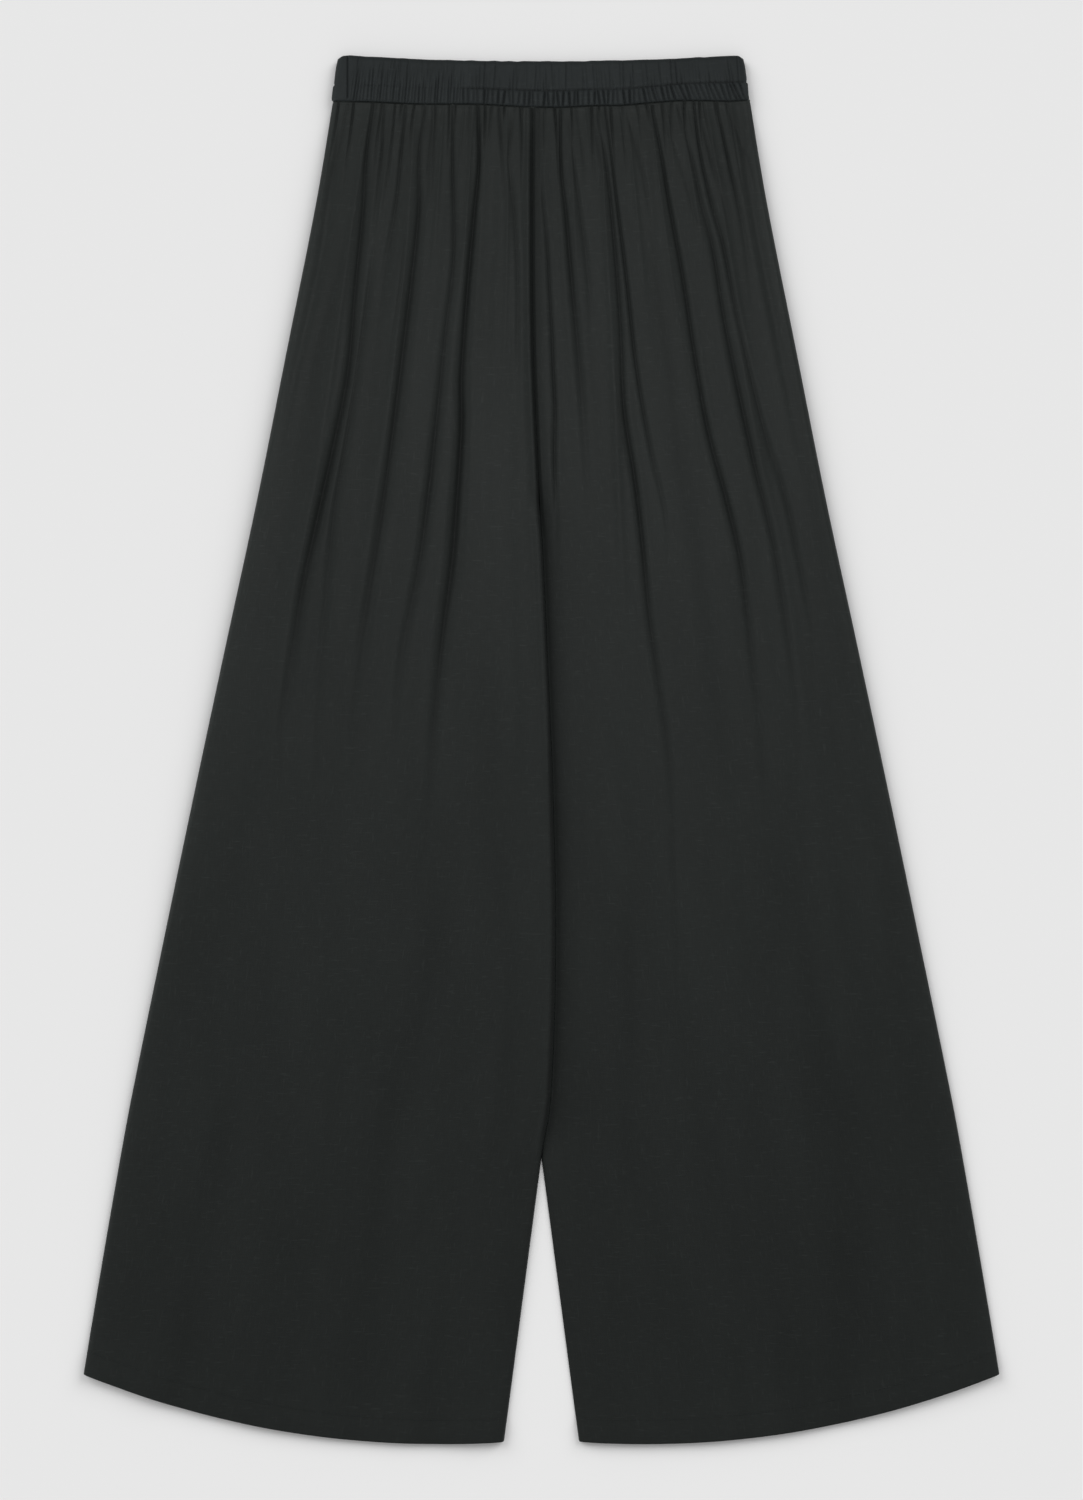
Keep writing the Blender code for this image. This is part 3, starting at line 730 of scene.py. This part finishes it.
FRONT_CREASES = (
    # The wearer's right leg, from the side seam to the rise.
    Crease(2.0, 1.6, 1.6, 0.2, (
        (-150, 500, 0.8), (-159, 462, 1.2), (-167, 422, 0.8), (-172, 389, 0.3), (-176, 360, 0.0))),
    Crease(4.5, 4.5, 1.2, 0.1, (
        (-150, 400, 0.0), (-161, 359, 0.7), (-168, 330, 0.7), (-175, 306, 0.5), (-179, 285, 0.0))),
    Crease(1.0, 1.9, 3.2, 0.35, (
        (-131, 501, 1.6), (-136.5, 461, 2.4), (-139, 417, 2.6), (-145, 356, 2.9),
        (-150.5, 294, 3.2), (-160, 245, 3.2), (-175, 178, 3.0), (-185, 131, 2.2), (-195, 67, 0.9),
        (-203, 10, 0.0))),
    Crease(1.0, 1.3, 2.4, 0.2, (
        (-128, 405, 0.0), (-136, 345, 1.0), (-143.5, 294, 1.4), (-152, 240, 1.5), (-161, 186, 1.2),
        (-166, 131, 0.6), (-176, 20, 0.0))),
    Crease(1.2, 1.2, 1.3, 0.2, (
        (-122, 501, 1.2), (-123.5, 470, 1.8), (-125.6, 444, 1.0), (-128, 420, 0.3),
        (-130, 400, 0.0))),
    Crease(1.3, 1.5, 1.6, 0.2, (
        (-105.5, 497, 1.2), (-108.5, 467, 1.8), (-113, 422, 1.6), (-121, 377, 0.8),
        (-125, 350, 0.0))),
    Crease(1.0, 1.2, 1.4, 0.1, (
        (-104, 415, 0.0), (-109, 371, 0.9), (-113, 341, 0.6), (-117, 315, 0.0))),
    Crease(1.3, 1.5, 3.4, 0.3, (
        (-90.5, 497, 1.6), (-95, 467, 1.8), (-95.5, 419, 2.6), (-101.5, 361, 2.8),
        (-109, 300, 2.9), (-115.5, 249, 2.9), (-122.5, 196, 2.6), (-127, 163, 2.0),
        (-140, 83, 0.8), (-148, 30, 0.0))),
    Crease(1.2, 1.2, 1.2, 0.1, (
        (-84.5, 497, 0.8), (-85, 480, 1.0), (-87.5, 455, 0.7), (-89, 430, 0.0))),
    Crease(1.0, 1.3, 3.0, 0.25, (
        (-69, 497, 1.6), (-69, 450, 2.0), (-68, 384, 2.0), (-74.5, 324, 1.9), (-82, 252, 2.1),
        (-90.5, 178, 1.9), (-97.5, 131, 1.4), (-108.5, 75, 0.7), (-114, 20, 0.0))),
    Crease(1.4, 1.6, 3.8, 0.4, (
        (-49.5, 498, 2.2), (-48.5, 457, 3.4), (-52, 419, 3.6), (-58, 353, 4.0), (-62.5, 286, 4.4),
        (-62, 257, 4.4), (-65.5, 196, 4.3), (-69.5, 146, 3.7), (-76.5, 93, 2.5), (-80, 59, 1.5),
        (-86, -12, 0.6), (-92, -100, 0.2), (-98, -311, 0.0))),
    Crease(1.4, 1.2, 1.3, 0.2, (
        (-33, 497, 1.4), (-31.5, 480, 1.8), (-30, 455, 0.8), (-29, 430, 0.0))),
    Crease(1.0, 1.2, 1.6, 0.2, (
        (-20.5, 497, 1.0), (-26, 460, 1.3), (-21.5, 419, 1.4), (-18.5, 369, 1.2),
        (-18.5, 309, 0.6), (-19, 280, 0.0))),
    # The wearer's left leg, from the rise to the side seam.
    Crease(0.75, 0.75, 1.2, 0.1, ((-2.5, 497, 0.8), (-2, 450, 0.9), (0.5, 430, 0.0))),
    Crease(0.75, 0.75, 1.2, 0.1, ((2, 497, 0.8), (2, 478, 0.8), (2, 460, 0.0))),
    Crease(0.81, 0.96, 1.4, 0.25, (
        (-1, 460, 0.0), (1, 428, 1.4), (4.5, 391, 1.7), (6, 361, 1.8), (8, 324, 1.9),
        (9, 294, 2.0), (10.5, 264, 2.0), (10, 234, 1.8), (10.5, 205, 1.2), (11, 185, 0.0))),
    Crease(1.33, 1.33, 1.8, 0.35, (
        (15, 497, 1.6), (15, 455, 2.6), (19, 417, 3.0), (23, 369, 2.8), (28.5, 309, 1.8),
        (33, 250, 0.6), (36, 200, 0.0))),
    Crease(0.96, 1.11, 1.4, 0.2, (
        (21.5, 485, 0.6), (26, 447, 1.4), (32.5, 398, 1.4), (35.5, 373, 0.8), (38, 340, 0.0))),
    Crease(0.81, 0.81, 1.2, 0.1, ((27, 497, 0.7), (31.5, 467, 0.7), (34, 445, 0.0))),
    Crease(0.89, 0.89, 1.2, 0.1, ((37, 497, 0.9), (44, 468, 1.0), (48, 440, 0.0))),
    Crease(1.11, 1.11, 2.4, 0.35, (
        (44, 491, 1.2), (51, 447, 1.8), (56.5, 391, 2.2), (61, 331, 2.4), (64, 264, 2.6),
        (72.5, 210, 2.4), (79, 153, 2.0), (83.5, 105, 1.5), (90.5, 56, 1.1), (98.5, 0, 0.7),
        (101.5, -33, 0.4), (105.5, -163, 0.0))),
    Crease(0.75, 0.81, 1.6, 0.3, (
        (49.5, 497, 1.4), (53.5, 467, 1.9), (58.5, 425, 2.2), (66.5, 361, 2.2), (73.5, 297, 2.0),
        (84.5, 234, 1.4), (93.5, 197, 0.6), (98, 170, 0.0))),
    Crease(0.81, 0.81, 1.2, 0.1, ((61, 497, 0.7), (64, 473, 0.8), (66, 455, 0.0))),
    Crease(1.11, 1.11, 1.3, 0.2, (
        (66.5, 491, 1.0), (75, 462, 1.3), (79, 447, 0.9), (84, 420, 0.0))),
    Crease(5, 5, 1.3, 0.0, (
        (84, 410, 0.0), (87.5, 384, 0.7), (91.5, 346, 0.9), (97.5, 309, 0.8), (105, 234, 0.5),
        (112, 180, 0.0))),
    Crease(1.11, 1.04, 2.2, 0.35, (
        (86, 497, 1.8), (93, 462, 2.6), (99, 425, 2.8), (109, 371, 2.8), (118.5, 309, 2.6),
        (129, 249, 2.6), (145, 189, 2.4), (154.5, 147, 1.6), (164.5, 65, 0.6), (172, 0, 0.0))),
    Crease(0.89, 0.89, 1.3, 0.1, (
        (93, 498, 0.7), (104.5, 464, 0.9), (114, 435, 0.7), (120, 410, 0.0))),
    Crease(1.11, 1.11, 2.6, 0.3, (
        (106, 497, 1.2), (117, 457, 1.6), (124, 424, 1.8), (132, 394, 2.2), (142, 333, 2.3),
        (151.5, 286, 2.4), (166, 219, 2.0), (179.5, 162, 1.3), (194, 72, 0.5), (200, 20, 0.0))),
    Crease(1.04, 0.96, 2.0, 0.3, (
        (118.5, 500, 1.8), (122.5, 467, 2.2), (132, 424, 2.4), (140.5, 395, 2.2),
        (151.5, 338, 1.8), (163, 286, 1.5), (176, 236, 1.3), (185.5, 210, 1.1), (195.5, 168, 0.9),
        (205, 121, 0.5), (211, 90, 0.0))),
    Crease(0.89, 0.96, 1.4, 0.2, (
        (122.5, 494, 1.0), (130.5, 462, 1.4), (138, 437, 0.9), (144, 410, 0.0))),
    Crease(1.11, 1.11, 1.6, 0.3, (
        (136, 500, 1.8), (144.5, 460, 2.2), (153.5, 419, 1.2), (158.5, 389, 0.6),
        (163, 350, 0.0))),
    Crease(0.96, 0.96, 1.3, 0.2, (
        (143.5, 500, 1.2), (157, 464, 1.2), (161.5, 454, 0.6), (166, 430, 0.0))),
    # Broad shallow bends of the lower legs.
    Crease(18, 15, 1.2, 0.0, (
        (-40, 70, 0.0), (-38, 20, 0.3), (-34, -60, 0.4), (-29, -140, 0.35), (-27, -310, 0.3),
        (-27, -420, 0.2), (-28, -480, 0.0))),
    Crease(24, 22, 1.3, 0.0, (
        (-84, -30, 0.0), (-86, -90, 0.35), (-88, -156, 0.45), (-106, -233, 0.4), (-131, -311, 0.4),
        (-141, -389, 0.3), (-150, -470, 0.0))),
    Crease(9, 9, 1.2, 0.0, ((66, -90, 0.0), (68, -150, 0.35), (69, -240, 0.3), (66, -320, 0.0))),
    Crease(12, 12, 1.3, 0.0, (
        (188, -20, 0.0), (196, -110, 0.4), (208, -180, 0.4), (221, -240, 0.3), (232, -300, 0.0))),
    Crease(26, 28, 1.2, 0.0, (
        (205, -190, 0.0), (222, -240, 0.4), (236, -311, 0.5), (238, -389, 0.5), (236, -470, 0.4),
        (234, -600, 0.0))),
)
FRONT_GRID = PanelGrid(columns=370, crowding=0.2, rows=104, row_crowding=1.2)
Loft = namedtuple("Loft", "below height")  # millimetres below the waistband, and off the back
FRONT_LOFTS = (
    Loft(0, 4.4), Loft(30, 6.2), Loft(150, 7.0), Loft(280, 7.2),
    Loft(420, 6.4), Loft(600, 4.8), Loft(880, 3.0), Loft(1010, 1.9),
)
FRONT_TUCKS = 18  # small ones of each panel
LEAST_LIFT = 0.15  # of the front off its bed, down in the deepest creases
SOFT_LIFT = 0.35  # over which a crease levels out before it gets there
CLEAR = 0.15  # space between the front and the back
SEAM_GRIP = 0.75  # and how far their plies sink into each other in the seams
SIDE_ROLL = 4.5  # radius of the rolled side edges
DENT = 0.26  # of the roll's height, in a dent along its inner side
DENT_IN = 11.5  # and how far in from the side that lies
LEG_ROLL = 3.5  # radius of the right leg's edge, where it lies over the left one
HEM_PULLED = 0.08  # how far the hem's stitches pull its plies together
TUCKED_Z = 4.95  # of the front's outer face behind the waistband


def hem_ply(up, start, end):
    """Height that a turned-up hem takes, which fades out between two shares of its depth."""
    return (PLY + HEM_GAP) / MM * (1.0 - ease((up - start) / (end - start)))


def slow_waves(leg, below, u, v):
    """Height of the slow waves across a front panel, which fan out with it."""
    lower = ease(below / 500.0)
    wave = wave_line(5 + leg, 0.045, 1.0, u + 0.02 * np.sin(v * 5.0)) * (0.5 - 0.2 * lower)
    wave += wave_line(7 + leg, 0.085, 1.0, u - 0.03 * np.sin(v * 3.0)) * (0.8 + 0.9 * lower)
    wave += wave_line(9 + leg, 0.17, 1.0, u * 0.9 + v * 0.08) * (0.3 + 0.9 * lower)
    wave = wave * (1.0 - 0.5 * ease((below - 560.0) / 300.0))
    return wave * ease(below / 60.0)


def sink_to_seams(leg, lift, below, outer_edge, inner_edge, in_rise, v):
    """The front's lift, brought down at its rolled side, at the rise and at the inseam."""
    side = round_edge(outer_edge, SIDE_ROLL)
    dent_in = DENT_IN + 3.0 * wave_line(13 + leg, 0.12, 1.0, v)
    dent = DENT * (1.0 - ease((below - 120.0) / 200.0))
    side = side * (1.0 - dent * np.exp(-(((outer_edge - dent_in) / 4.2) ** 2)))
    rise = 0.25 + 0.4 * ease(inner_edge / 3.6) + 0.35 * ease(inner_edge / 11.0)
    if leg == RIGHT:
        roll = 1.24 - 0.7 * np.exp(-inner_edge / 9.0) - 0.24 * ease((inner_edge - 20.0) / 28.0)
        inseam = round_edge(inner_edge, LEG_ROLL) * roll
    else:
        inseam = 1.12 * (1.0 - np.exp(-inner_edge / 11.0)) - 0.12 * ease((inner_edge - 22.0) / 16.0)
    return lift * side * (in_rise * rise + (1.0 - in_rise) * inseam)


def painted_edge_tones(leg, y, outer_edge, inner_edge, in_rise):
    """Shade painted where the legs meet, down to the fork, and light painted on the rolled sides.
    """
    if leg == RIGHT:
        core = inner_edge
        painted_shade = 0.47 * np.exp(-((core / (1.9 + 2.3 * ease((40.0 - y) / 70.0))) ** 4))
        painted_rim_light = 0.34 * np.exp(-outer_edge / 7.0) * (0.4 + 0.6 * ease((y + 250.0) / 300.0))
        painted_rim_light += 0.09 * np.exp(-outer_edge / 22.0)
    else:
        core = np.maximum(inner_edge - lap(y * MM) / MM, 0.0)
        painted_shade = 0.40 * np.exp(-core / 4.5) * in_rise
        painted_shade += 0.46 * np.exp(-core / 10.5) * (1.0 - in_rise)
        upper = ease((y - 150.0) / 200.0)
        painted_rim_light = (0.3 + 0.1 * upper) * np.exp(-outer_edge / (3.0 + upper))
    return painted_shade * (1.0 - 1.7 * np.exp(-(core**2))) * ease((y - FORK_Y / MM) / 30.0), painted_rim_light


def front_over(leg, x, y, u, v):
    """Height of the front's outer face, and the light and shade painted on it."""
    below, outer_edge, inner_edge = from_edges(leg, x, y)
    level = smooth_curve(*zip(*FRONT_LOFTS), below) + slow_waves(leg, below, u, v)
    most = np.maximum(level - 0.4, 0.6) / (1.0 + TAIL_DEPTH)
    deep, high, crease_shade_painted = crease_relief(FRONT_CREASES, x, y, most)
    gathers = fine_gathers(leg, 11 + leg, FRONT_TUCKS, x, y)
    lift = level + high - np.maximum(deep, gathers)
    lift = LEAST_LIFT + np.logaddexp(0.0, (lift - LEAST_LIFT) / SOFT_LIFT) * SOFT_LIFT
    in_rise = ease((y - CROTCH_Y / MM) / 40.0 + 0.5)
    lift = sink_to_seams(leg, lift, below, outer_edge, inner_edge, in_rise, v)
    # The plies meet in the seams, and the hems' turned-up plies end just inside them.
    edge = np.minimum(inner_edge, outer_edge)
    clear = CLEAR - (CLEAR + SEAM_GRIP) * np.exp(-edge / 0.7)
    beside = 1.0 - ease(edge / 6.0)
    up = (y - hem_y(u) / MM) / (HEM_DEPTH / MM)
    back_ply = hem_ply(up, 0.95, 1.15)
    front_ply = hem_ply(up, 0.4, 2.6) * (1.0 - beside) + back_ply * beside
    hems = (back_ply + front_ply) * round_edge(edge, HEM_PULL / MM)
    bed = back_under(leg, x, y, u, v)[0] + PLY / MM + clear + PLY / MM + hems
    tucked = 1.0 - ease((below + 0.3) / 1.7)
    pulled = HEM_PULLED * np.exp(-(((up - STITCHED_AT) / 0.12) ** 2))
    over = bed + lift - pulled * np.minimum(lift, 1.0)
    # Painted shade where the legs meet and in the creases and gathers, less painted light on the
    # rolled sides.
    painted_shade, painted_rim_light = painted_edge_tones(leg, y, outer_edge, inner_edge, in_rise)
    painted_shade = np.maximum(painted_shade, np.maximum(crease_shade_painted, crease_shade(gathers))) - painted_rim_light
    painted_shade = painted_shade - 0.62 * (1.0 - ease((below - 0.1) / 0.9))  # painted light along the waistband's seam, lifting its shadow line
    # A little painted light just below the waistband.
    painted_shade = painted_shade - 0.07 * (1.0 - ease((below - 6.0) / 20.0))
    return over * (1.0 - tucked) + TUCKED_Z * tucked, painted_shade


for leg, side in ((RIGHT, "right"), (LEFT, "left")):
    panel = cloth_panel(f"front_panel_{side}", leg, FRONT_GRID, front_over, 1, LEG_CLOTH)
    stitches = hem_stitches(f"front_hem_stitches_{side}", leg, front_over, 0.05 * MM, 25 + leg)
    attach(panel, "root")
    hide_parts(f"front_leg_{side}")

# -----------------------------------------------------------------------------
# Waistband: a casing of the same cloth, folded over a woven elastic that ruches it into fine
# upright pleats. A row of stitches runs round it through the elastic, near its lower edge.

BAND_CLOTH = cloth_material("waistband_cloth", (0.0196, 0.0228, 0.0233, 1.0), 0.30, 0.3)
BAND_TOP_HALF = 157.6 * MM
BAND_THICKNESS = 6.4 * MM
BAND_WALL = 1.3 * MM
STITCH_HEIGHT = 0.355  # of the stitch row, as a share of the band's height from its seam
BAND_COLUMNS = 1900
FACE_RISES = (0.015, 0.05, 0.10, 0.16, 0.22, 0.27, 0.31, 0.335, 0.355, 0.375, 0.40, 0.43, 0.48)
FACE_RISES += (0.54, 0.61, 0.68, 0.75, 0.82, 0.89, 0.96)
EDGE_ROWS = 3
LINING_ROWS = 5
CREST = 1.7  # millimetres that the casing stands out between its tucks
BULGE = 0.4  # and how much further it does where the pleats crowd
CASING_SEAM_X = -149.8 * MM  # the casing's own seam, beyond which it is smooth
LEFT_END = 0.06  # x from which the pleats lean and the stitches climb
RIGHT_END = -0.05  # x from which tall pleats run on over the stitches
RING = 0.65  # rough length round the band, which the ruching repeats over
BAND_FULLNESS = 1.4  # length of the casing's cloth over that, in the weave
LINING_APART = 0.05  # metres between its face and its lining, in the weave

Pleats = namedtuple("Pleats", "seed pitch depths tops")
LOW_PLEATS = Pleats(seed=41, pitch=0.0039, depths=(0.9, 2.0), tops=(2.0, 2.0))
TALL_PLEATS = Pleats(seed=45, pitch=0.0025, depths=(0.5, 1.35), tops=(0.45, 0.8))
HIGH_PLEATS = Pleats(seed=42, pitch=0.0025, depths=(0.1, 0.75), tops=(0.45, 1.2))


def band_path(half_width):
    """Places round the flattened band: x, z, outward direction, and the length so far."""
    radius = BAND_THICKNESS / 2
    half_turn = np.pi * radius
    straight = half_width - radius
    total = 4 * straight + 2 * half_turn
    s = np.arange(BAND_COLUMNS) / BAND_COLUMNS * total
    # Along the front, round the left end, along the back, and last round the right end.
    part = [s < 2 * straight, s < 2 * straight + half_turn, s < 4 * straight + half_turn]
    turned = [0.0, (s - 2 * straight) / radius, np.pi]
    angle = np.pi / 2 - np.select(part, turned, np.pi + (s - 4 * straight - half_turn) / radius)
    along = [s - straight, straight, straight - (s - 2 * straight - half_turn)]
    x = np.select(part, along, -straight) + radius * np.cos(angle)
    z = radius + radius * np.sin(angle)
    return x, z, np.cos(angle), np.sin(angle), s / total * RING


def tucks(pleats, s, rise, lean):
    """Rounded pleats of uneven widths round the casing: millimetres down from their crests.

    Each one dies out at a height of its own between the tops, as a share of the band's height.
    """
    random = np.random.RandomState(pleats.seed)
    count = int(RING / pleats.pitch)
    places = (np.arange(count) + random.uniform(-0.24, 0.24, count)) * pleats.pitch
    depth = random.uniform(*pleats.depths, count)
    slants = random.uniform(-1.0, 1.0, count) * MM
    top = random.uniform(*pleats.tops, count)
    at = s % RING
    near = np.searchsorted(places, at) - 1
    deep = np.zeros_like(s)
    for step in (-1, 0, 1, 2):
        tuck = (near + step) % count
        aside = at - places[tuck] - slants[tuck] * lean
        aside = np.abs((aside + RING / 2) % RING - RING / 2)
        here = depth[tuck] * ease((top[tuck] - rise) / 0.35 + 0.5)
        deep = np.maximum(deep, here * np.maximum(1.0 - aside / (0.5 * pleats.pitch), 0.0) ** 1.8)
    return deep


def stitch_rise(x):
    """Height of the stitch row, which climbs a little at the left end, as a share of the band's."""
    return STITCH_HEIGHT + 0.05 * ease((x - LEFT_END) / 0.08)


def tall_share(x):
    """1 where the tall pleats run on over the stitches, 0 where there are none."""
    return ease((RIGHT_END - x) / 0.02)


def ruching(s, x, rise, on_front):
    """Height of the casing's face over its tucks, in millimetres, round the band and up it."""
    # Up to the stitches the pleats stand close together, leaning at the left end. At the right
    # end finer ones run on over the stitches.
    above = rise - stitch_rise(x)
    leaning = 1.3 * MM * ease((x - LEFT_END) / 0.05) * on_front * (0.15 - rise) / 0.15
    below = 1.0 - ease((above + 0.05) / 0.07)
    low = tucks(LOW_PLEATS, s - leaning, rise, (rise - 0.15) / 0.25) * below
    tall = tucks(TALL_PLEATS, s, rise, 1.6 * rise - 0.5)
    aside = tall_share(x) * on_front
    high = tucks(HIGH_PLEATS, s, rise, rise * 2.2) * (1.0 - 0.8 * below)
    pleats = low * (1.0 - aside) + tall * aside
    full = below * (1.0 - aside) + ease((0.80 - rise) / 0.35) * aside
    broad = 0.5 * wave_line(43, 0.013, RING, s + 0.001 * rise) + 0.3 * wave_line(44, 0.03, RING, s)
    pinch = np.exp(-((above / 0.025) ** 2)) * (1.0 - 0.8 * aside)
    smooth = 0.1 + 0.9 * np.where(on_front, ease((x - CASING_SEAM_X) / (4 * MM)), 1.0)
    deep = (np.maximum(pleats, high) + 0.25 * broad - BULGE * full) * smooth
    seam = 1.2 * np.exp(-(((x - CASING_SEAM_X) / (0.5 * MM)) ** 2)) * on_front * ease(rise / 0.1)
    edge = 0.6 + 0.4 * ease(rise / 0.06)
    return CREST * edge - deep * (0.5 + 0.5 * edge) - 0.8 * pinch * smooth - seam


# Round the casing's wall: how far up the band, how far in from its face, and how free to pleat.
turns = [math.pi * step / (EDGE_ROWS + 1) for step in range(1, EDGE_ROWS + 1)]
loop = [(rise, 0.0, 1.0) for rise in FACE_RISES]
loop += [(0.96 + 0.04 * math.sin(turn), 0.5 - 0.5 * math.cos(turn), 0.4) for turn in turns]
loop += [(0.96 - 0.945 * step / LINING_ROWS, 1.0, 0.3) for step in range(LINING_ROWS + 1)]
loop += [(0.015 - 0.015 * math.sin(turn), 0.5 + 0.5 * math.cos(turn), 0.6) for turn in turns]


def band_face(rise, inward, free):
    """Places round the band at a rise (a share of its height), the length so far, and the light and
    shade painted there.
    """
    half = BAND_LOW_HALF + (BAND_TOP_HALF - BAND_LOW_HALF) * np.mean(rise) - CREST * MM
    x, z, out_x, out_z, s = band_path(half)
    rise = np.broadcast_to(rise, x.shape)
    crown = 0.25 * np.sin(np.pi * np.clip(rise, 0.0, 1.0))
    stand = ruching(s, x, rise, out_z > 0.5)
    # Painted shade in the tucks, and painted light on the casing's crests.
    painted_here = 1.0 - 0.4 * np.clip((CREST - stand) / 1.6, -BULGE / 1.6, 1.0)
    from_end = (half - np.abs(x)) / MM
    # Painted light at the band's two ends.
    painted_here += np.where(x < 0.0, 0.30 * np.exp(-from_end / 3.5), 0.25 * np.exp(-from_end / 1.8))
    painted_here += 0.28 * (1.0 - ease(rise / 0.06))  # painted light along the seam below, lifting its shadow line
    push = (stand * free * (1.0 - 0.7 * inward) + crown * (1.0 - inward)) * MM
    push = push - np.where(out_z < -0.5, np.maximum(push, 0.0), 0.0)  # flat on the floor
    push = push - inward * BAND_WALL
    corner = 2.2 * MM * np.exp(-from_end / 1.6) * ease((rise - 0.7) / 0.3)
    wobble = 0.25 * MM * wave_line(47, 0.006, RING, s) * ease((rise - 0.6) / 0.4)
    top_y = LENGTH / 2 - 1.28 * band_sag(x)
    y = band_low_y(x) * (1.0 - rise) + top_y * rise - corner + wobble
    return np.stack([x - 0.7 * MM + out_x * push, y, z + out_z * push], axis=-1), s, painted_here


band_rows, band_cut, band_painted = [], [], []
for rise, inward, free in loop:
    places, s, painted_here = band_face(rise, inward, free)
    band_rows.append(places)
    band_painted.append(painted_here)
    up = np.full_like(s, rise * BAND_HEIGHT - inward * LINING_APART)
    band_cut.append(np.stack([s * BAND_FULLNESS, up], axis=-1))
vertices = np.concatenate(band_rows)
cut = np.concatenate(band_cut)
numbers = np.arange(len(vertices)).reshape(len(loop), BAND_COLUMNS)
after = np.roll(numbers, -1, axis=1)
above = np.roll(numbers, -1, axis=0)
faces = np.stack([numbers, after, np.roll(above, -1, axis=1), above], axis=-1).reshape(-1, 4)
painted_by = np.concatenate(band_painted)
casing_mesh = cloth_mesh("waistband_casing", vertices, faces, cut, painted_by, BAND_CLOTH)
casing = new_object("waistband_casing", casing_mesh, garment)

# The stitches sink out of sight where the pleats run over them.
x, _, _, out_z, _ = band_path((BAND_LOW_HALF + BAND_TOP_HALF) / 2)
row, s, _ = band_face(stitch_rise(x), 0.0, 1.0)
proud = 0.12 + 0.35 * wave_line(49, 0.012, RING, s) - 0.45 * tall_share(x)
proud = np.where(out_z > 0.5, proud, -0.2)  # flush with the underside
row[:, 2] += np.sign(out_z) * proud * MM
shown = np.abs(out_z) > 0.98
lines = [row[shown & (out_z > 0.0)], row[shown & (out_z < 0.0)]]
# The thread is dark charcoal, and is painted darker still to stand for the shade in its stitch
# holes.
band_thread_painted_darker = thread_material("waistband_thread", (0.0085, 0.0100, 0.0100, 1.0))
band_stitch = {"Pitch": 4.1 * MM, "Stitch Length": 3.3 * MM, "Thread Width": 0.5 * MM}
band_stitches = sew("waistband_stitches", lines, band_stitch, band_thread_painted_darker, 7)
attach(band_stitches, "root")
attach(casing, "root")
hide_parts("waistband")
